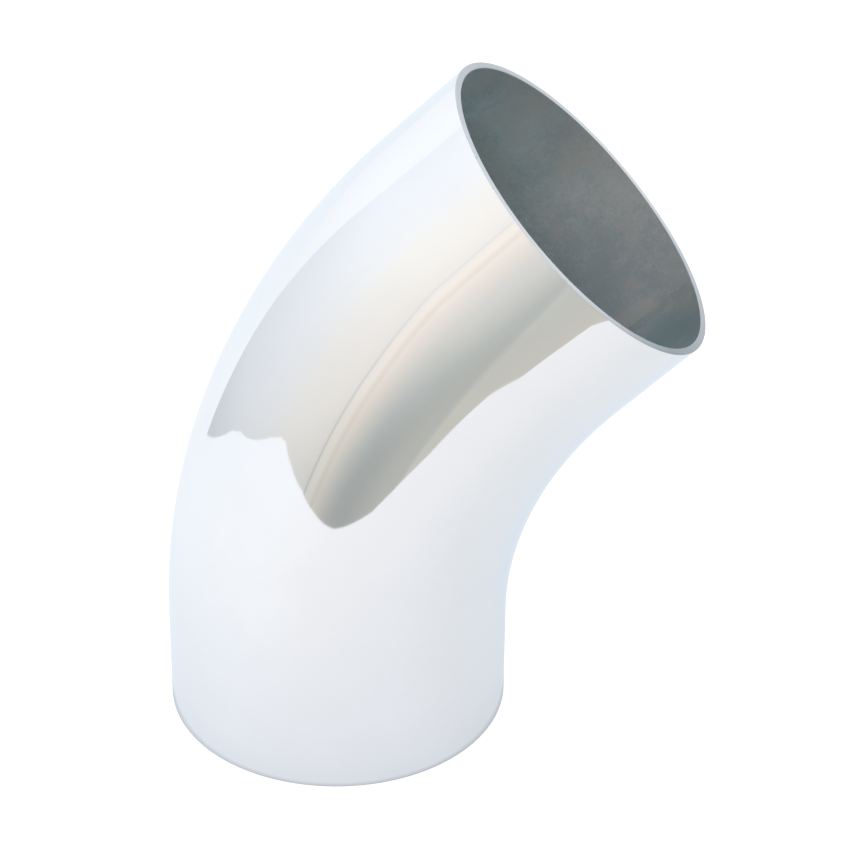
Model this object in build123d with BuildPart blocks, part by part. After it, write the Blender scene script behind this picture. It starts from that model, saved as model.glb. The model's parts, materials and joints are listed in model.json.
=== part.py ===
from build123d import *
import os
from math import asin, cos, degrees, radians, sin

# Smooth 45 degree flue elbow in stainless tube, with a short straight length at each end.
#
# A strip is rolled into a tube, its two edges are welded along the whole length, and the tube is
# bent and sawn off square. The weld is ground flush outside and rolled down to a low root inside.
#
# Frame: the lower tube's axis is +Z and its end face stands on Z = 0, with the origin at the
# face's centre. The bend turns towards +X and lies in the XZ plane. Millimetres and degrees.

# Tube
tube_od = 101.6
wall = 2.11
edge_break = 0.3  # rounding left by deburring the sawn ends

# Bend, measured on the tube's centreline
bend_angle = 45.0
bend_radius = 165.0
lower_straight = 30.0
upper_straight = 30.0

# Lengthwise weld
seam_angle = 20.0  # round the tube from the inside of the bend, towards +Y
seam_width = 3.2  # across the weld at the outer surface
seam_root_height = 0.15  # how far the rolled root stands into the bore

outer_radius = tube_od / 2
bore_radius = outer_radius - wall
seam_half_angle = degrees(asin(seam_width / 2 / outer_radius))


def on_section(radius, angle):
    """A point on the tube's cross-section, by radius and angle from the inside of the bend."""
    return (radius * cos(radians(angle)), radius * sin(radians(angle)))


def round_end_edges(piece, outward):
    """Rounds the sawn edges of a piece at the end that faces along an axis."""
    end_face = piece.faces().filter_by(outward).sort_by(outward)[-1]
    fillet(end_face.edges().filter_by(GeomType.CIRCLE), radius=edge_break)


# The tube's centreline: straight, bend, straight
with BuildLine(Plane.XZ) as centreline:
    lower_line = Line((0, 0), (0, lower_straight))
    bend_arc = JernArc(lower_line @ 1, lower_line % 1, bend_radius, -bend_angle)
    upper_line = PolarLine(bend_arc @ 1, upper_straight, direction=bend_arc % 1)

lower_end = Axis((0, 0, 0), (0, 0, -1))
upper_end = Axis(upper_line @ 1, upper_line % 1)

# Weld metal: fills the gap between the strip's edges, whose flanks point at the tube's axis
with BuildPart() as seam_weld:
    with BuildSketch(Plane.XY) as weld_profile:
        with BuildLine():
            cap = CenterArc(
                (0, 0), outer_radius, seam_angle - seam_half_angle, 2 * seam_half_angle
            )
            root = ThreePointArc(
                on_section(bore_radius, seam_angle + seam_half_angle),
                on_section(bore_radius - seam_root_height, seam_angle),
                on_section(bore_radius, seam_angle - seam_half_angle),
            )
            Line(cap @ 1, root @ 0)
            Line(root @ 1, cap @ 0)
        make_face()
    sweep(path=centreline.line)
    round_end_edges(seam_weld, lower_end)
    round_end_edges(seam_weld, upper_end)
seam_weld.part.label = "seam_weld"

# Tube wall: the rolled strip, a ring open at the weld
with BuildPart() as elbow_tube:
    with BuildSketch(Plane.XY):
        Circle(outer_radius)
        Circle(bore_radius, mode=Mode.SUBTRACT)
        add(weld_profile.sketch, mode=Mode.SUBTRACT)
    sweep(path=centreline.line)
    round_end_edges(elbow_tube, lower_end)
    round_end_edges(elbow_tube, upper_end)
elbow_tube.part.label = "elbow_tube"

os.makedirs("parts", exist_ok=True)
export_step(elbow_tube.part, "parts/elbow_tube.step")
export_step(seam_weld.part, "parts/seam_weld.step")
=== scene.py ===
"""Polished flue elbow: the looks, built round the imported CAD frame.

The elbow is a length of seam-welded stainless tube, bent through 45 degrees and sawn off square.
Its outside is mirror polished and its bore keeps the matt, pickled skin of the strip. The
lengthwise weld is ground flush outside and left as a low, rippled root inside.
"""

import json
import math

import bpy
import numpy as np
from bpy.props import FloatProperty, FloatVectorProperty, IntProperty, PointerProperty
from mathutils import Matrix, Vector


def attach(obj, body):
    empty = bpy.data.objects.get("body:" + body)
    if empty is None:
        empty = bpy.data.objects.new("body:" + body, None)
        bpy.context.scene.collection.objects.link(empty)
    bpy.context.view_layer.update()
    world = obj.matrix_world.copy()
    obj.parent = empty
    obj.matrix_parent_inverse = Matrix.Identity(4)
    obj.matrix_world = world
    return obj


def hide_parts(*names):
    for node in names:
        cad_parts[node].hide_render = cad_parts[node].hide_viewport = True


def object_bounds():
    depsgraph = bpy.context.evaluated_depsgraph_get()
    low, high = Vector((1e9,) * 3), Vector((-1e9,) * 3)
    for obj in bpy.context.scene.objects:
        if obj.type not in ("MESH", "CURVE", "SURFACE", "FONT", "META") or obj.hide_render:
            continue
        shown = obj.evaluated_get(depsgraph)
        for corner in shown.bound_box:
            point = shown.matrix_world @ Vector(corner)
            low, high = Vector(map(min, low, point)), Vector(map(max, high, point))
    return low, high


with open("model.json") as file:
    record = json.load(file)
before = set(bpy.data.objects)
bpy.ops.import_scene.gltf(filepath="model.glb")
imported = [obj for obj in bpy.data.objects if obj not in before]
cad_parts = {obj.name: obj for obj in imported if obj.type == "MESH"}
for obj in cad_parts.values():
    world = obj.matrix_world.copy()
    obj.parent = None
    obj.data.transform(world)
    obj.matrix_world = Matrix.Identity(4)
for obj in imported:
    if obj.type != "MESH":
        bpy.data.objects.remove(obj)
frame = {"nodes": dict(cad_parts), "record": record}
CAD_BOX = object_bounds()

bl_info = {
    "name": "Polished Flue Elbow",
    "version": (1, 0, 0),
    "blender": (4, 5, 0),
    "location": "3D View > Sidebar > Flue Elbow",
    "description": "Builds a mirror-polished, seam-welded flue elbow and its studio",
    "category": "Add Mesh",
}

MM = 0.001
MOUNTS = {mount["name"]: mount for mount in frame["record"]["mounts"]}

# Faces of one piece, in the order of its material slots
SKIN, RIM, BORE = range(3)

RIM_RINGS = 3  # rings of faces across each sawn end
WELD_COLUMNS = 12  # columns of faces across the weld
WELD_STEPS = 9  # steps along the weld for each of the tube's
RIPPLE_LAG = 0.9  # how far a ripple trails at the weld's sides, in ripples

ROOM_SIZE = 8.0  # the tent's radius, and half the floor's width, in metres
TENT_RINGS = 48
ROOM_GLOW = 1.1  # the white beyond the floor, seen by the camera
FLOOR_GLOW = 0.75
FLOOR_GREY = 0.45
SENSOR_WIDTH = 36.0  # millimetres
NEAREST_SEEN = 0.01  # metres from the camera


# -------------------------------------------------- the tube's shape, from the frame


class TubeShape:
    """The elbow's sizes and centreline.

    Both straights are alike, and a spigot's mount is halfway along its straight.
    """

    def __init__(self):
        self.outer = MOUNTS["lower_spigot"]["dims"]["r_mm"] * MM
        self.bore = MOUNTS["lower_bore"]["dims"]["r_mm"] * MM
        self.turn = math.acos(MOUNTS["upper_face"]["axis"][2])
        self.straight = 2 * MOUNTS["lower_spigot"]["pos_m"][2]
        self.bend_radius = self.radius_of_bend()
        # A spigot's mount is shorter than its straight by the deburred edge
        self.edge = self.straight - MOUNTS["lower_spigot"]["dims"]["length_mm"] * MM
        self.length = 2 * self.straight + self.bend_radius * self.turn
        self.seam_from, self.seam_to = self.seam_angles()
        self.seam_middle = (self.seam_from + self.seam_to) / 2
        self.root_height = self.bore - self.nearest_weld()

    def radius_of_bend(self):
        """The centreline's radius, from how high the upper end face stands over the straights."""
        end_height = MOUNTS["upper_face"]["pos_m"][2]
        straights = self.straight * (1 + math.cos(self.turn))
        return (end_height - straights) / math.sin(self.turn)

    def weld_points(self):
        """The CAD weld's points in the lower straight, as radii and as angles round the axis."""
        vertices = frame["nodes"]["seam_weld"].data.vertices
        points = [vertex.co for vertex in vertices if vertex.co.z < self.straight]
        radii = [math.hypot(point.x, point.y) for point in points]
        angles = [math.atan2(point.y, point.x) for point in points]
        return radii, angles

    def seam_angles(self):
        _, angles = self.weld_points()
        return min(angles), max(angles)

    def nearest_weld(self):
        radii, _ = self.weld_points()
        return min(radii)

    def section(self, along):
        """The section's centre, its direction, and the way to the bend's inside from its centre."""
        along = np.asarray(along, float)
        angle = np.clip((along - self.straight) / self.bend_radius, 0, self.turn)
        before = np.minimum(along, self.straight)
        past = np.maximum(along - self.straight - self.bend_radius * self.turn, 0)
        sine, cosine, zero = np.sin(angle), np.cos(angle), np.zeros_like(angle)
        centre = np.stack(
            [
                self.bend_radius * (1 - cosine) + past * sine,
                zero,
                before + self.bend_radius * sine + past * cosine,
            ],
            axis=-1,
        )
        direction = np.stack([sine, zero, cosine], axis=-1)
        inside = np.stack([cosine, zero, -sine], axis=-1)
        return centre, direction, inside

    def spokes(self, along, around):
        """Unit vectors out from the axis and round it, at an angle from the bend's inside."""
        _, _, inside = self.section(along)
        across = np.array([0.0, 1.0, 0.0])
        cosine = np.cos(around)[..., None]
        sine = np.sin(around)[..., None]
        return cosine * inside + sine * across, cosine * across - sine * inside

    def point(self, along, radius, around):
        centre, _, _ = self.section(along)
        outward, _ = self.spokes(along, around)
        return centre + radius[..., None] * outward

    def point_on_chords(self, along, radius, around, places):
        """A point on the straight line from one of the sections at places to the next."""
        step = np.clip(np.searchsorted(places, along, side="right") - 1, 0, len(places) - 2)
        start, end = places[step], places[step + 1]
        share = ((along - start) / (end - start))[..., None]
        before = self.point(start, radius, around)
        after = self.point(end, radius, around)
        return (1 - share) * before + share * after


TUBE = TubeShape()


# -------------------------------------------------- settings that a user would change


class ElbowSettings(bpy.types.PropertyGroup):
    """How finely the elbow is built, and how its surfaces are finished."""

    around: IntProperty(
        name="Steps around", description="Faces round the tube", default=236, min=24
    )
    along: IntProperty(
        name="Steps along", description="Faces along the tube", default=128, min=16
    )
    rounding: IntProperty(
        name="Steps on an edge", description="Faces across each deburred edge", default=4, min=1
    )
    ripple_pitch: FloatProperty(
        name="Weld ripple",
        description="Distance between ripples of the weld's root",
        default=1.1 * MM,
        unit="LENGTH",
    )
    ripple_height: FloatProperty(
        name="Ripple height",
        description="How much the ripples rise on the weld's root",
        default=0.012 * MM,
        unit="LENGTH",
    )
    steel: FloatVectorProperty(
        name="Polished steel",
        description="What the polished skin reflects, face on",
        subtype="COLOR",
        default=(0.87, 0.885, 0.9),
    )
    bore_light: FloatVectorProperty(
        name="Bore, light patches",
        description="Colour of the pickled bore where it is lightest",
        subtype="COLOR",
        default=(0.96, 0.94, 0.93),
    )
    bore_dark: FloatVectorProperty(
        name="Bore, dark patches",
        description="Colour of the pickled bore where it is darkest",
        subtype="COLOR",
        default=(0.73, 0.745, 0.75),
    )
    bore_warm: FloatVectorProperty(
        name="Bore, warm patches",
        description="Colour of the faint brownish stains in the pickled bore",
        subtype="COLOR",
        default=(0.93, 0.85, 0.80),
    )
    # The rim's two colours are the ends of the light and shade painted round each sawn end
    rim_bright: FloatVectorProperty(
        name="Rim, bright",
        description="Colour of the sawn and deburred ends where they are brightest",
        subtype="COLOR",
        default=(0.75, 0.765, 0.785),
    )
    rim_dull: FloatVectorProperty(
        name="Rim, dull",
        description="Colour of the sawn and deburred ends where they are dullest",
        subtype="COLOR",
        default=(0.32, 0.355, 0.375),
    )


class StudioSettings(bpy.types.PropertyGroup):
    """The camera, the white tent and the room seen through the tent's open side."""

    azimuth: FloatProperty(
        name="Camera azimuth",
        description="Turn of the camera round the elbow, from straight in front",
        subtype="ANGLE",
        default=math.radians(2.35),
    )
    elevation: FloatProperty(
        name="Camera elevation",
        description="Height of the camera above the horizon",
        subtype="ANGLE",
        default=math.radians(32.18),
    )
    roll: FloatProperty(
        name="Camera roll",
        description="Turn of the camera about its own axis",
        subtype="ANGLE",
        default=math.radians(0.51),
    )
    distance: FloatProperty(
        name="Camera distance",
        description="From the camera to the point it looks at",
        unit="LENGTH",
        default=0.9082,
    )
    lens: FloatProperty(
        name="Lens",
        description="Focal length in millimetres, on a sensor 36 mm wide",
        unit="CAMERA",
        default=132.2,
    )
    aim_side: FloatProperty(
        name="Aim, sideways",
        description="How far the camera aims beside the middle of the elbow's box",
        unit="LENGTH",
        default=-1.3 * MM,
    )
    aim_height: FloatProperty(
        name="Aim, height",
        description="How far the camera aims above the middle of the elbow's box",
        unit="LENGTH",
        default=-7.36 * MM,
    )
    tent: FloatVectorProperty(
        name="Tent",
        description="Colour that the light of the tent and the room is multiplied by",
        subtype="COLOR",
        default=(1.0, 1.0, 1.0),
        min=0,
        max=4,
    )


# -------------------------------------------------- shader maths


class Value:
    """A socket of a node tree, with the arithmetic that shader maths is written in."""

    def __init__(self, nodes, socket):
        self.nodes = nodes
        self.socket = socket

    def __add__(self, other):
        return self.nodes.maths("ADD", self, other)

    __radd__ = __add__

    def __sub__(self, other):
        return self.nodes.maths("SUBTRACT", self, other)

    def __rsub__(self, other):
        return self.nodes.maths("SUBTRACT", other, self)

    def __mul__(self, other):
        return self.nodes.maths("MULTIPLY", self, other)

    __rmul__ = __mul__

    def __truediv__(self, other):
        return self.nodes.maths("DIVIDE", self, other)

    def __rtruediv__(self, other):
        return self.nodes.maths("DIVIDE", other, self)

    def __abs__(self):
        return self.nodes.maths("ABSOLUTE", self)

    def step(self, low, high):
        """0 at low and 1 at high, rising smoothly between. It falls if low is above high."""
        return self.nodes.node(
            "ShaderNodeMapRange",
            {"interpolation_type": "SMOOTHSTEP"},
            {"Value": self, "From Min": low, "From Max": high},
        )

    def band(self, middle, half_width, soft):
        """1 within half_width of middle, fading to 0 over the distance soft."""
        return abs(self - middle).step(half_width + soft, half_width)

    def ramp(self, *stops):
        """A colour that runs through the stops, each a value and its colour, in rising order."""
        low = stops[0][0]
        span = stops[-1][0] - low
        scaled = [((value - low) / span, colour) for value, colour in stops]
        sockets = {"Fac": (self - low) / span}
        return self.nodes.node("ShaderNodeValToRGB", {"stops": scaled}, sockets)


def grey(level):
    return (level, level, level)


def darker(colour, share):
    """A colour with that share of its light left."""
    return tuple(share * channel for channel in colour)


class Nodes:
    """The node tree of a material or of the world, built a node at a time."""

    def __init__(self, owner):
        owner.use_nodes = True
        self.tree = owner.node_tree
        self.tree.nodes.clear()

    def node(self, kind, settings, sockets, output=0):
        """Adds a node, sets it up, then fills its sockets with values or links them."""
        node = self.tree.nodes.new(kind)
        for name, setting in settings.items():
            if name == "stops":
                self.fill_ramp(node.color_ramp, setting)
            else:
                setattr(node, name, setting)
        for name, value in sockets.items():
            if isinstance(value, Value):
                self.tree.links.new(value.socket, node.inputs[name])
            else:
                node.inputs[name].default_value = value
        return Value(self, node.outputs[output]) if node.outputs else None

    def fill_ramp(self, ramp, stops):
        while len(ramp.elements) < len(stops):
            ramp.elements.new(1.0)
        for element, (position, colour) in zip(ramp.elements, stops):
            element.position = position
            element.color = (*colour, 1.0)

    def mix(self, factor, first, second, blend="MIX"):
        """Mixes two colours, which the Mix node has as inputs 6 and 7 and as output 2."""
        first, second = [c if isinstance(c, Value) else (*c, 1.0) for c in (first, second)]
        settings = {"data_type": "RGBA", "blend_type": blend, "clamp_factor": True}
        return self.node("ShaderNodeMix", settings, {0: factor, 6: first, 7: second}, output=2)

    def maths(self, operation, *values):
        return self.node("ShaderNodeMath", {"operation": operation}, dict(enumerate(values)))

    def times(self, first, second):
        """One colour multiplied by another."""
        return self.mix(1.0, first, second, blend="MULTIPLY")

    def vector(self, operation, *values, output=0):
        settings = {"operation": operation}
        return self.node("ShaderNodeVectorMath", settings, dict(enumerate(values)), output)

    def parts(self, vector):
        """The X, Y and Z of a vector."""
        node = self.node("ShaderNodeSeparateXYZ", {}, {"Vector": vector}).socket.node
        return [Value(self, socket) for socket in node.outputs]

    def joined(self, x, y, z):
        return self.node("ShaderNodeCombineXYZ", {}, {"X": x, "Y": y, "Z": z})

    def noise(self, where, scale, detail=2.0, roughness=0.5, distortion=0.0):
        """Noise between 0 and 1 with scale features to the metre."""
        sockets = {
            "Vector": where,
            "Scale": scale,
            "Detail": detail,
            "Roughness": roughness,
            "Distortion": distortion,
        }
        return self.node("ShaderNodeTexNoise", {}, sockets)

    def glow(self, colour):
        return self.node("ShaderNodeEmission", {}, {"Color": colour, "Strength": 1.0})

    def finish(self, shader):
        self.node("ShaderNodeOutputMaterial", {}, {"Surface": shader})

    def finish_metal(self, colour, roughness, height):
        """Ends the material as bare metal, with relief of a height given in metres."""
        relief = {"Height": height, "Distance": 1.0, "Strength": 1.0}
        sockets = {
            "Base Color": colour,
            "Metallic": 1.0,
            "Roughness": roughness,
            "Normal": self.node("ShaderNodeBump", {}, relief),
        }
        self.finish(self.node("ShaderNodeBsdfPrincipled", {}, sockets))


class TubeNodes(Nodes):
    """Nodes of a finish on the tube, with the surface's own coordinates.

    beside is 1 on the two sides of the bend and 0 along its inside and its outside. The bore's
    painted shade follows it.
    """

    def __init__(self, material):
        super().__init__(material)
        attribute = {"attribute_name": "tube_place", "attribute_type": "GEOMETRY"}
        place = self.node("ShaderNodeAttribute", attribute, {}, output="Vector")
        self.round, self.along, self.radius = self.parts(place)
        self.solid = self.node("ShaderNodeTexCoord", {}, {}, output="Object")
        self.arc = self.round * TUBE.outer
        sine = self.maths("SINE", self.round)
        self.beside = sine * sine

    def facing(self, degrees):
        """1 on the tube's side at an angle from the bend's inside, falling to -1 opposite it."""
        return self.maths("COSINE", self.round - math.radians(degrees))

    def drawn(self, stretch):
        """Coordinates in which a pattern is stretched along the tube, the way strip is rolled."""
        return self.joined(self.arc, self.along / stretch, self.radius)

    def hooped(self, stretch):
        """Coordinates in which a pattern is stretched round the tube, the way buffing marks run."""
        return self.joined(self.arc / stretch, self.along, self.radius)


# -------------------------------------------------- finishes

# Relief of the polished skin
WAVE_HEIGHT = 0.055 * MM
PEEL_HEIGHT = 0.0008 * MM
BUFFING_HEIGHT = 0.00006 * MM

# Relief of the bore, the weld's root and the sawn ends
DRAW_LINE_HEIGHT = 0.004 * MM
MOTTLE_HEIGHT = 0.008 * MM
WELD_MOTTLE_HEIGHT = 0.006 * MM
GRAIN_HEIGHT = 0.005 * MM
RIM_LINE_HEIGHT = 0.006 * MM

# Faint tints, and dark colours of painted shade, that aren't among the settings
PIT_GREY = (0.16, 0.17, 0.17)
SCRATCH_GREY = (0.8, 0.82, 0.83)
BAND_BLUE = (0.0, 0.36, 0.43)
END_BROWN = (0.1, 0.05, 0.04)

SMALLEST_PIT = 0.0001  # keeps the division finite where there are no pits


def polished_steel(settings):
    """Mirror-polished stainless skin: faint waves left by the bend, buffing haze and a few pits."""
    material = bpy.data.materials.new("mirror_polished_steel")
    n = TubeNodes(material)
    waves = n.noise(n.solid, 38.0, detail=1.5)
    peel = n.noise(n.solid, 420.0, detail=2.0)
    buffing = n.noise(n.hooped(30.0), 2600.0, detail=3.0, roughness=0.6)
    haze = n.noise(n.solid, 55.0, detail=4.0, roughness=0.6).step(0.42, 0.72)
    pits = n.node("ShaderNodeTexVoronoi", {"feature": "F1"}, {"Vector": n.solid, "Scale": 75.0})
    pit_size = n.noise(n.solid, 31.0, detail=0.0).step(0.66, 0.8) * 0.04
    pit = (pits / (pit_size + SMALLEST_PIT)).step(1.0, 0.6)

    colour = n.mix(haze * 0.5, settings.steel, darker(settings.steel, 0.975))
    colour = n.mix(pit * 0.7, colour, PIT_GREY)
    height = waves * WAVE_HEIGHT + peel * PEEL_HEIGHT + buffing * BUFFING_HEIGHT
    roughness = 0.028 + haze * 0.02 + buffing * 0.012 + pit * 0.3
    n.finish_metal(colour, roughness, height)
    return material


def pickled_colour(n, settings):
    """Colour of the pickled bore: cloudy, mottled and finely grained, with faint brownish stains.

    It has painted shade: darker near the sawn ends, darker and tinted teal in broad bands along the
    bend's inside and outside, and lighter on the bend's sides.
    """
    clouds = n.noise(n.solid, 34.0, detail=4.0, roughness=0.55, distortion=0.4)
    mottle = n.noise(n.drawn(1.3), 260.0, detail=5.0, roughness=0.7)
    grain = n.noise(n.solid, 1100.0, detail=3.0, roughness=0.7)
    # The beside term is painted shade: the bore is painted lighter on the bend's sides and darker
    # along its inside and outside
    shade = clouds * 0.34 + mottle * 0.3 + grain * 0.36 + n.beside * 0.16 - 0.1
    colour = n.mix(shade.step(0.38, 0.64), settings.bore_dark, settings.bore_light)
    stains = n.noise(n.solid, 75.0, detail=4.0, roughness=0.6).step(0.48, 0.66)
    colour = n.mix(stains * 0.7, colour, settings.bore_warm)
    # Painted shade with a teal tint, in broad bands along the bend's inside and outside
    bluer = n.facing(-20.0).step(0.7, 0.94) + n.facing(160.0).step(-0.5, 0.9)
    colour = n.mix(bluer * 0.3, colour, BAND_BLUE)
    # Painted shade: the bore is darkened towards the sawn ends
    from_end = n.maths("MINIMUM", n.along, TUBE.length - n.along)
    colour = n.mix(from_end.step(22.0 * MM, -6.0 * MM) * 0.36, colour, END_BROWN)
    return colour, clouds, mottle, grain


def pickled_bore(settings):
    """Matt grey bore, as the strip came from the pickling bath, with faint draw lines."""
    material = bpy.data.materials.new("pickled_bore")
    n = TubeNodes(material)
    colour, clouds, mottle, grain = pickled_colour(n, settings)
    draw_lines = n.noise(n.drawn(22.0), 620.0, detail=4.0, roughness=0.6)
    scratch = n.noise(n.drawn(60.0), 1500.0, detail=2.0).step(0.68, 0.8)
    colour = n.mix(scratch * 0.12, colour, SCRATCH_GREY)
    height = draw_lines * DRAW_LINE_HEIGHT + mottle * MOTTLE_HEIGHT + grain * GRAIN_HEIGHT
    roughness = 0.46 + clouds * 0.14 + grain * 0.08 - scratch * 0.08
    n.finish_metal(colour, roughness, height)
    return material


def deburred_rim(settings):
    """Sawn and deburred end, painted lighter and darker round it as painted reflection, with fine
    lines round it and a few nicks.
    """
    material = bpy.data.materials.new("deburred_rim")
    n = TubeNodes(material)
    lines = n.noise(n.hooped(40.0), 9000.0, detail=3.0, roughness=0.7)
    nicks = n.noise(n.solid, 900.0, detail=3.0).step(0.62, 0.75)
    # Painted reflection: light and shade painted round each end by the angle round the tube
    buffed = (n.round * math.degrees(1.0)).ramp(
        (0.0, grey(0.44)),
        (30.0, grey(0.58)),
        (58.0, grey(0.97)),
        (85.0, grey(0.97)),
        (110.0, grey(0.68)),
        (145.0, grey(0.49)),
        (180.0, grey(0.58)),
        (238.0, grey(0.97)),
        (268.0, grey(0.88)),
        (284.0, grey(0.60)),
        (300.0, grey(0.22)),
        (315.0, grey(0.02)),
        (345.0, grey(0.33)),
        (360.0, grey(0.44)),
        (380.0, grey(0.53)),
    )
    colour = n.mix(buffed * 0.92 + lines * 0.08, settings.rim_dull, settings.rim_bright)
    colour = n.mix(nicks * 0.3, colour, darker(settings.rim_dull, 0.6))
    roughness = 0.3 + lines * 0.12 + nicks * 0.1
    n.finish_metal(colour, roughness, lines * RIM_LINE_HEIGHT)
    return material


def weld_root(settings):
    """The weld's root in the bore: a rolled, rippled bead, pickled like the strip beside it."""
    material = bpy.data.materials.new("weld_root")
    n = TubeNodes(material)
    # The root's colour carries the bore's painted shade too
    colour, clouds, mottle, grain = pickled_colour(n, settings)
    tint = n.noise(n.drawn(6.0), 180.0, detail=3.0).step(0.4, 0.7)
    colour = n.mix(tint * 0.25, colour, darker(settings.bore_warm, 0.8))
    height = mottle * WELD_MOTTLE_HEIGHT + grain * GRAIN_HEIGHT
    n.finish_metal(colour, 0.46 + clouds * 0.14, height)
    return material


# -------------------------------------------------- meshes of the two pieces


def places_along(steps):
    """Where the tube's sections stand, evenly spaced between its two deburred edges."""
    return np.linspace(TUBE.edge, TUBE.length - TUBE.edge, steps + 1)


def wall_outline(settings, steps_along):
    """The wall cut along its length, as a closed loop of stations from the outside's lower end.

    Each station has a place along the tube, a radius, the outward normal along and across the
    tube, how far it belongs to the bore side, and the finish of the faces up to the next one.
    """
    edge = TUBE.edge
    places = places_along(steps_along)
    low, high = places[0], places[-1]
    quarter = np.linspace(0, math.pi / 2, settings.rounding + 1)
    stations = [(place, TUBE.outer, 0.0, 1.0, 0.0, SKIN) for place in places[:-1]]

    def corner(place, radius, side, out_or_in, to_face):
        """A deburred edge, turned from the tube's surface to the end face or back again."""
        turns = quarter if to_face else quarter[::-1]
        for turn in turns[:-1]:
            lean_along = side * math.sin(turn)
            lean_out = out_or_in * math.cos(turn)
            stations.append(
                (
                    place + edge * lean_along,
                    radius + edge * lean_out,
                    lean_along,
                    lean_out,
                    0.0 if out_or_in > 0 else 1.0,
                    RIM,
                )
            )

    def end_face(side, outside_first):
        place = TUBE.length if side > 0 else 0.0
        radii = np.linspace(TUBE.outer - edge, TUBE.bore + edge, RIM_RINGS + 1)
        if not outside_first:
            radii = radii[::-1]
        for radius in radii[:-1]:
            share = (TUBE.outer - radius) / (TUBE.outer - TUBE.bore)
            stations.append((place, radius, side, 0.0, share, RIM))

    corner(high, TUBE.outer - edge, 1.0, 1.0, to_face=True)
    end_face(1.0, outside_first=True)
    corner(high, TUBE.bore + edge, 1.0, -1.0, to_face=False)
    stations += [(place, TUBE.bore, 0.0, -1.0, 1.0, BORE) for place in places[:0:-1]]
    corner(low, TUBE.bore + edge, -1.0, -1.0, to_face=True)
    end_face(-1.0, outside_first=False)
    corner(low, TUBE.outer - edge, -1.0, 1.0, to_face=False)
    return np.array(stations)


def swept_wall(name, stations, angles, steps_along, sections, bead=None):
    """A closed piece: the wall's outline carried round the tube between two angles.

    Its points lie on straight lines between the sections, so that two pieces with the same
    sections meet without a gap. bead gives how far the bore side stands in towards the axis,
    from place along and angle.
    """
    along, radius, lean_along, lean_out, inner, finish = stations.T
    around = np.repeat(angles[:, None], len(stations), axis=1)
    along = np.repeat(along[None], len(angles), axis=0)
    radius = np.repeat(radius[None], len(angles), axis=0)
    if bead is not None:
        radius = radius - bead(along, around) * inner
    points = TUBE.point_on_chords(along, radius, around, sections)
    outward, tangent = TUBE.spokes(along, around)
    _, direction, _ = TUBE.section(along)
    normals = lean_along[None, :, None] * direction + lean_out[None, :, None] * outward
    if bead is not None:
        in_bore = ((inner > 0.5) & (finish == BORE))[None, :, None]
        normals = np.where(in_bore, relief(points), normals)

    count, size = points.shape[:2]
    index = np.arange(count * size).reshape(count, size)
    following = np.roll(index, -1, axis=1)
    quads = np.stack([index[:-1], index[1:], following[1:], following[:-1]], axis=-1)
    faces = [tuple(quad) for quad in quads.reshape(-1, 4).tolist()]
    slots = np.repeat(finish[None].astype(int), count - 1, axis=0).ravel().tolist()
    corner_normals = [normals.reshape(-1, 3)[quads.ravel()]]
    for row, facing in ((0, -1.0), (count - 1, 1.0)):
        for corners in flank_faces(size, steps_along):
            ordered = corners if facing < 0 else corners[::-1]
            faces.append(tuple(index[row, ordered].tolist()))
            slots.append(RIM)
            corner_normals.append(facing * tangent[row, ordered])

    mesh = bpy.data.meshes.new(name)
    mesh.from_pydata(points.reshape(-1, 3).tolist(), [], faces)
    mesh.polygons.foreach_set("material_index", slots)
    mesh.polygons.foreach_set("use_smooth", [True] * len(faces))
    sharpen_flanks(mesh, size, count)
    place = mesh.attributes.new("tube_place", "FLOAT_VECTOR", "POINT")
    place.data.foreach_set("vector", np.stack([around, along, radius], axis=-1).ravel())
    mesh.normals_split_custom_set(np.concatenate(corner_normals).tolist())
    mesh.update()
    piece = bpy.data.objects.new(name, mesh)
    bpy.context.scene.collection.objects.link(piece)
    return piece


def sharpen_flanks(mesh, size, count):
    """Marks the edges of the first and last rows as sharp, so that shading stops at the flanks."""
    ends = np.empty(2 * len(mesh.edges), int)
    mesh.edges.foreach_get("vertices", ends)
    rows = ends.reshape(-1, 2) // size
    flank = (rows[:, 0] == rows[:, 1]) & np.isin(rows[:, 0], (0, count - 1))
    mesh.edges.foreach_set("use_edge_sharp", flank)


def relief(points):
    """Normals of a grid of points, facing the tube's axis."""
    across = np.gradient(points, axis=0)
    lengthwise = np.gradient(points, axis=1)
    normal = np.cross(across, lengthwise)
    return normal / np.linalg.norm(normal, axis=-1, keepdims=True)


def flank_faces(size, steps_along):
    """Faces that close the wall where it is cut, as indexes into its outline of size stations."""
    corner_steps = (size - 2 * steps_along) // 2
    bore_first = steps_along + corner_steps
    faces = []
    for step in range(steps_along):
        outer = step
        inner = bore_first + steps_along - step
        faces.append(np.array([outer, outer + 1, inner - 1, inner % size]))
    faces.append(np.arange(steps_along, bore_first + 1))
    faces.append(np.append(np.arange(bore_first + steps_along, size), 0))
    return faces


def dressed(piece, node, slot, *materials):
    """Gives a piece its finishes and makes it stand for its CAD node."""
    for material in materials:
        piece.data.materials.append(material)
    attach(piece, "root")
    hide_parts(node)


class BuildElbowTube(bpy.types.Operator):
    """Builds the rolled, bent and polished tube wall"""

    bl_idname = "flue_elbow.tube"
    bl_label = "Elbow tube"

    def execute(self, context):
        settings = context.scene.elbow_settings
        stations = wall_outline(settings, settings.along)
        angles = np.linspace(TUBE.seam_to, TUBE.seam_from + math.tau, settings.around + 1)
        sections = places_along(settings.along)
        piece = swept_wall("polished_tube", stations, angles, settings.along, sections)
        skin = polished_steel(settings)
        rim = deburred_rim(settings)
        dressed(piece, "elbow_tube", "polished_stainless", skin, rim, pickled_bore(settings))
        return {"FINISHED"}


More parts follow.
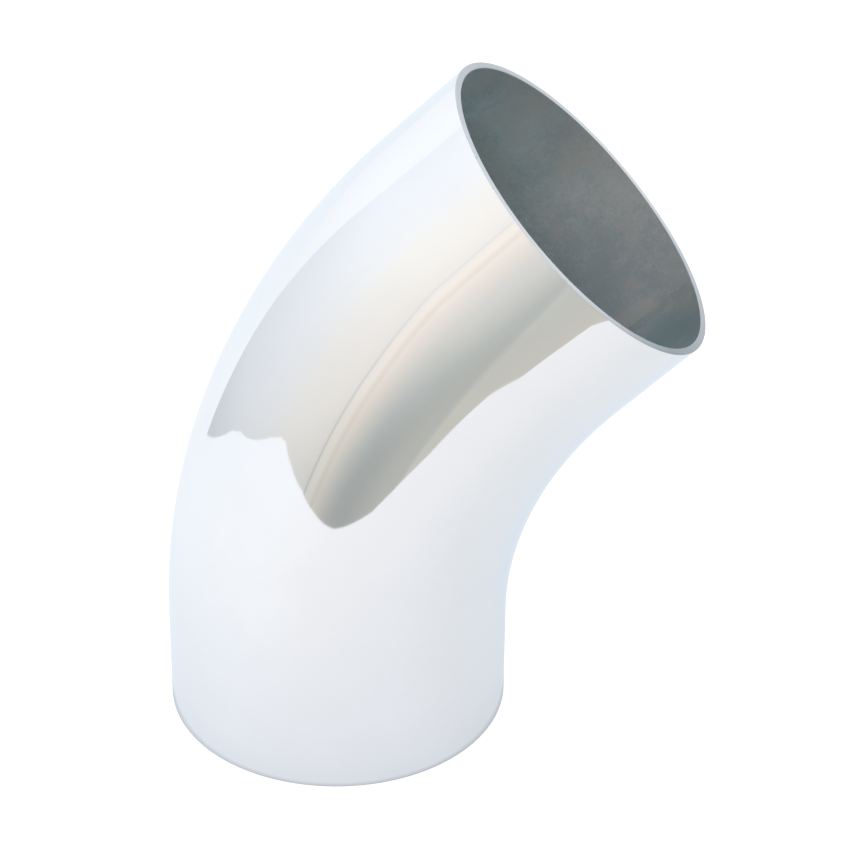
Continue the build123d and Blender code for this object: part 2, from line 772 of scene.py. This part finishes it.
class BuildSeamWeld(bpy.types.Operator):
    """Builds the lengthwise weld: flush outside, a rippled root inside"""

    bl_idname = "flue_elbow.weld"
    bl_label = "Seam weld"

    def execute(self, context):
        settings = context.scene.elbow_settings
        half = (TUBE.seam_to - TUBE.seam_from) / 2
        steps_along = settings.along * WELD_STEPS

        def bead(along, around):
            """Height of the root above the bore: a low crown with crescent ripples on it."""
            across = (around - TUBE.seam_middle) / half
            crown = np.clip(1 - across**2, 0, 1) ** 2
            lag = RIPPLE_LAG * across**2
            ripple = np.sin(math.tau * (along / settings.ripple_pitch + lag))
            peak = TUBE.root_height - settings.ripple_height
            return crown * peak + crown * settings.ripple_height * ripple

        stations = wall_outline(settings, steps_along)
        angles = np.linspace(TUBE.seam_from, TUBE.seam_to, WELD_COLUMNS + 1)
        sections = places_along(settings.along)
        piece = swept_wall("seam_weld_bead", stations, angles, steps_along, sections, bead)
        skin = bpy.data.materials["mirror_polished_steel"]
        rim = bpy.data.materials["deburred_rim"]
        dressed(piece, "seam_weld", "weld_metal", skin, rim, weld_root(settings))
        return {"FINISHED"}


# -------------------------------------------------- studio


def room_light(n, azimuth, height):
    """The room seen through the tent's open side.

    A pale wall on the left, with a door frame in it, falls off to a dim corner in front. A
    slanted edge with a pale strip parts that corner from a cream wall on the right.
    """
    left = height.ramp(
        (-60.0, (0.60, 0.61, 0.60)),
        (-20.0, (0.625, 0.645, 0.64)),
        (-15.0, (0.69, 0.71, 0.705)),
        (-10.0, (0.77, 0.78, 0.77)),
        (-5.0, (0.845, 0.845, 0.84)),
        (0.0, grey(0.88)),
        (10.0, grey(0.95)),
        (20.0, grey(1.04)),
        (32.0, grey(1.10)),
    )
    corner = height.ramp(
        (-60.0, (0.55, 0.57, 0.56)),
        (-42.0, (0.49, 0.51, 0.50)),
        (-33.0, (0.41, 0.43, 0.425)),
        (-26.0, (0.405, 0.425, 0.42)),
        (-23.0, (0.42, 0.45, 0.45)),
        (-18.0, (0.50, 0.53, 0.53)),
        (-14.0, (0.60, 0.615, 0.60)),
        (-8.0, (0.715, 0.715, 0.70)),
        (0.0, (0.81, 0.80, 0.78)),
        (20.0, (1.0, 0.99, 0.98)),
    )
    right = height.ramp(
        (-60.0, (0.76, 0.74, 0.69)),
        (-42.0, (0.635, 0.62, 0.57)),
        (-36.0, (0.615, 0.61, 0.57)),
        (-27.0, (0.60, 0.61, 0.58)),
        (-18.0, (0.60, 0.62, 0.60)),
        (0.0, (0.82, 0.81, 0.79)),
        (20.0, (1.0, 0.99, 0.97)),
    )
    tint = azimuth.ramp(
        (-129.0, (0.95, 0.99, 1.05)),
        (-114.0, (0.95, 0.985, 1.035)),
        (-98.0, (0.97, 0.99, 1.03)),
        (-82.0, (0.985, 0.99, 1.0)),
        (-74.0, (1.0, 0.99, 0.98)),
        (-64.0, (1.03, 0.995, 0.95)),
        (-50.0, (1.05, 1.0, 0.95)),
        (-44.0, (1.03, 0.99, 0.94)),
        (-42.0, (1.09, 1.02, 0.95)),
        (-39.6, (1.13, 1.05, 0.97)),
        (-38.0, (1.06, 0.97, 0.87)),
        (-37.2, (1.04, 0.945, 0.84)),
        (-35.6, (1.12, 1.02, 0.945)),
        (-30.0, (1.07, 1.0, 0.94)),
        (-24.0, (1.02, 1.0, 0.97)),
    )
    # The corner's edge leans, so it is followed by azimuth and height together
    slant = azimuth + height * 0.55 + 18.3
    nearer_right = slant.step(-16.0, -1.0) * 0.5 + slant.step(-0.8, 1.6) * 0.5
    light = n.mix(azimuth.step(-42.0, -22.0), left, corner)
    light = n.mix(nearer_right, light, right)
    light = n.mix(slant.band(0.9, 0.2, 0.6) * 0.12, light, (0.78, 0.77, 0.74))
    # The dark gap beside the door frame
    frame_gap = azimuth.band(-43.6, 0.3, 0.6) * (height.step(14.0, -14.0) * 0.12 + 0.05)
    light = n.mix(frame_gap, light, grey(0.0))
    return n.times(light, tint)


def level_place(n):
    """A shaded point's x and y, its height, and its distance from the elbow's lower axis."""
    position = n.node("ShaderNodeNewGeometry", {}, {}, output="Position")
    x, y, z = n.parts(position)
    level = n.joined(x, y, 0.0)
    return x, y, z, n.vector("LENGTH", level, output="Value")


def azimuth_of(n, x, y):
    """Degrees round the elbow from straight in front, towards the right."""
    return n.maths("ARCTAN2", x, y * -1.0) * math.degrees(1.0)


def tent_light(settings):
    """The white tent's walls, with its open side, seen by the steel and by no camera."""
    material = bpy.data.materials.new("tent_and_room")
    n = Nodes(material)
    x, y, z, reach = level_place(n)
    azimuth = azimuth_of(n, x, y)
    height = n.maths("ARCTAN2", z, reach) * math.degrees(1.0)
    # The tent's open side has a leaning flap on the left and fades out on the right and above
    flap = azimuth - height * 0.33
    opening = flap.step(-126.5, -124.5) * azimuth.step(55.0, 35.0) * height.step(42.0, 22.0)
    wall = height.ramp(
        (-60.0, (0.89, 0.94, 1.01)),
        (-15.0, (0.92, 0.965, 1.03)),
        (-5.0, (0.955, 1.0, 1.055)),
        (5.0, (1.03, 1.05, 1.08)),
        (18.0, (1.07, 1.10, 1.12)),
        (40.0, (0.97, 1.03, 1.08)),
    )
    # A grey panel stands on the right, clear of the floor
    panel = azimuth.band(104.0, 12.0, 24.0) * height.step(2.0, 16.0)
    wall = n.mix(panel * 0.5, wall, (0.60, 0.63, 0.66))
    light = n.mix(opening, wall, room_light(n, azimuth, height))
    n.finish(n.glow(n.times(light, settings.tent)))
    return material


def sheet_light():
    """The white sheet that the elbow stands on, as the steel sees it, with a painted shadow under
    and close to the tube.
    """
    material = bpy.data.materials.new("sheet_in_reflections")
    n = Nodes(material)
    x, y, _, reach = level_place(n)
    azimuth = azimuth_of(n, x, y)
    # Painted shadow: dark under the tube and dimmer close to it
    light = reach.ramp(
        (0.000, grey(0.04)),
        (0.048, grey(0.04)),
        (0.052, (0.83, 0.87, 0.93)),
        (0.062, (0.89, 0.915, 0.97)),
        (0.080, (0.93, 0.95, 0.995)),
        (0.105, (0.96, 0.98, 1.02)),
        (0.150, (1.01, 1.02, 1.05)),
        (0.220, (1.04, 1.045, 1.07)),
        (0.500, (1.05, 1.06, 1.09)),
    )
    side = azimuth.ramp(
        (-180.0, (0.85, 0.905, 0.945)),
        (-150.0, (0.90, 0.94, 0.965)),
        (-130.0, (0.935, 0.97, 0.985)),
        (-118.0, (0.95, 0.985, 0.995)),
        (-80.0, (0.99, 0.995, 1.0)),
        (-45.0, (1.0, 1.0, 0.995)),
        (-15.0, (0.97, 0.955, 0.945)),
        (30.0, (0.94, 0.93, 0.925)),
        (60.0, (0.90, 0.895, 0.88)),
        (100.0, (0.86, 0.885, 0.89)),
        (120.0, (0.81, 0.86, 0.90)),
        (160.0, (0.82, 0.88, 0.925)),
        (180.0, (0.85, 0.905, 0.945)),
    )
    light = n.times(light, side)
    # Far off on the right, at the back, the sheet lies in shade
    beyond = reach.step(0.45, 1.4) * abs(azimuth - 120.0).step(75.0, 15.0)
    light = n.mix(beyond * 0.6, light, (0.50, 0.53, 0.56))
    n.finish(n.glow(light))
    return material


def white_floor():
    """A pale card floor, bright enough to stay white, with a faint shadow where the tube stands."""
    material = bpy.data.materials.new("white_floor")
    n = Nodes(material)
    _, _, _, reach = level_place(n)
    outside = reach.step(TUBE.bore, TUBE.outer)
    glow = n.glow(n.mix(outside, grey(0.0), grey(FLOOR_GLOW)))
    card = n.node("ShaderNodeBsdfDiffuse", {}, {"Color": (*grey(FLOOR_GREY), 1.0)})
    n.finish(n.node("ShaderNodeAddShader", {}, {0: glow, 1: card}))
    return material


def flat_shape(name, outline, material):
    """A level sheet at the floor's height."""
    mesh = bpy.data.meshes.new(name)
    mesh.from_pydata([(x, y, 0.0) for x, y in outline], [], [tuple(range(len(outline)))])
    mesh.materials.append(material)
    piece = bpy.data.objects.new(name, mesh)
    bpy.context.scene.collection.objects.link(piece)
    return piece


# The white sheet's edge on the floor, seen from above: from the right, past the front, to the left
SHEET_EDGE = (
    (0.50, -0.17),
    (0.131, -0.192),
    (0.118, -0.212),
    (0.100, -0.210),
    (0.085, -0.204),
    (0.068, -0.218),
    (0.043, -0.204),
    (0.00, -0.200),
    (-0.06, -0.213),
    (-0.13, -0.239),
    (-0.23, -0.271),
    (-0.39, -0.307),
    (-0.69, -0.357),
    (-0.80, -0.339),
    (-0.81, -0.253),
    (-0.71, -0.024),
    (-0.69, 0.050),
    (-0.59, 0.108),
    (-0.28, 0.172),
)


class BuildStudio(bpy.types.Operator):
    """Builds the floor, the white tent with its open side, and the camera"""

    bl_idname = "flue_elbow.studio"
    bl_label = "Studio"

    def execute(self, context):
        settings = context.scene.studio_settings
        self.add_floor()
        self.add_tent(settings)
        self.add_camera(context, settings)
        return {"FINISHED"}

    def add_floor(self):
        far = ROOM_SIZE
        corners = ((-far, -far), (far, -far), (far, far), (-far, far))
        floor = flat_shape("floor", corners, white_floor())
        floor.visible_glossy = False
        # Behind the elbow the sheet runs on to the tent's walls
        spread = ((-0.8 * far, 0.6 * far), (-far, far), (far, far), (far, SHEET_EDGE[0][1]))
        sheet = flat_shape("sheet", SHEET_EDGE + spread, sheet_light())
        for kind in ("camera", "diffuse", "shadow", "transmission", "volume_scatter"):
            setattr(sheet, "visible_" + kind, False)

    def add_tent(self, settings):
        bpy.ops.mesh.primitive_uv_sphere_add(
            segments=2 * TENT_RINGS, ring_count=TENT_RINGS, radius=ROOM_SIZE
        )
        tent = bpy.context.object
        tent.name = "tent"
        tent.data.materials.append(tent_light(settings))
        tent.visible_camera = False
        tent.visible_shadow = False
        world = bpy.context.scene.world or bpy.data.worlds.new("studio")
        bpy.context.scene.world = world
        n = Nodes(world)
        sockets = {"Color": (*grey(1.0), 1.0), "Strength": ROOM_GLOW}
        white = n.node("ShaderNodeBackground", {}, sockets)
        n.node("ShaderNodeOutputWorld", {}, {"Surface": white})

    def add_camera(self, context, settings):
        low, high = CAD_BOX
        aim = (low + high) / 2 + Vector((settings.aim_side, 0.0, settings.aim_height))
        turn = Matrix.Rotation(settings.azimuth, 4, "Z")
        tilt = Matrix.Rotation(math.pi / 2 - settings.elevation, 4, "X")
        roll = Matrix.Rotation(settings.roll, 4, "Z")
        camera = bpy.data.objects.new("camera", bpy.data.cameras.new("camera"))
        back = Matrix.Translation((0, 0, settings.distance))
        camera.matrix_world = Matrix.Translation(aim) @ turn @ tilt @ roll @ back
        camera.data.lens = settings.lens
        camera.data.sensor_width = SENSOR_WIDTH
        camera.data.clip_start = NEAREST_SEEN
        camera.data.clip_end = 4 * ROOM_SIZE
        context.scene.collection.objects.link(camera)
        context.scene.camera = camera
        context.scene.view_settings.view_transform = "Standard"


class FlueElbowPanel(bpy.types.Panel):
    """Lists the elbow's settings and what builds it"""

    bl_idname = "VIEW3D_PT_flue_elbow"
    bl_label = "Flue Elbow"
    bl_space_type = "VIEW_3D"
    bl_region_type = "UI"
    bl_category = "Flue Elbow"

    def draw(self, context):
        for group in (context.scene.elbow_settings, context.scene.studio_settings):
            box = self.layout.box()
            for name in group.bl_rna.properties.keys():
                if name not in ("rna_type", "name"):
                    box.prop(group, name)
        for operator in (BuildElbowTube, BuildSeamWeld, BuildStudio):
            self.layout.operator(operator.bl_idname)


CLASSES = (
    ElbowSettings,
    StudioSettings,
    BuildElbowTube,
    BuildSeamWeld,
    BuildStudio,
    FlueElbowPanel,
)


def register():
    for cls in CLASSES:
        bpy.utils.register_class(cls)
    bpy.types.Scene.elbow_settings = PointerProperty(type=ElbowSettings)
    bpy.types.Scene.studio_settings = PointerProperty(type=StudioSettings)


def unregister():
    del bpy.types.Scene.studio_settings
    del bpy.types.Scene.elbow_settings
    for cls in reversed(CLASSES):
        bpy.utils.unregister_class(cls)


def main():
    register()
    bpy.ops.flue_elbow.tube()
    bpy.ops.flue_elbow.weld()
    bpy.ops.flue_elbow.studio()


if __name__ == "__main__":
    main()
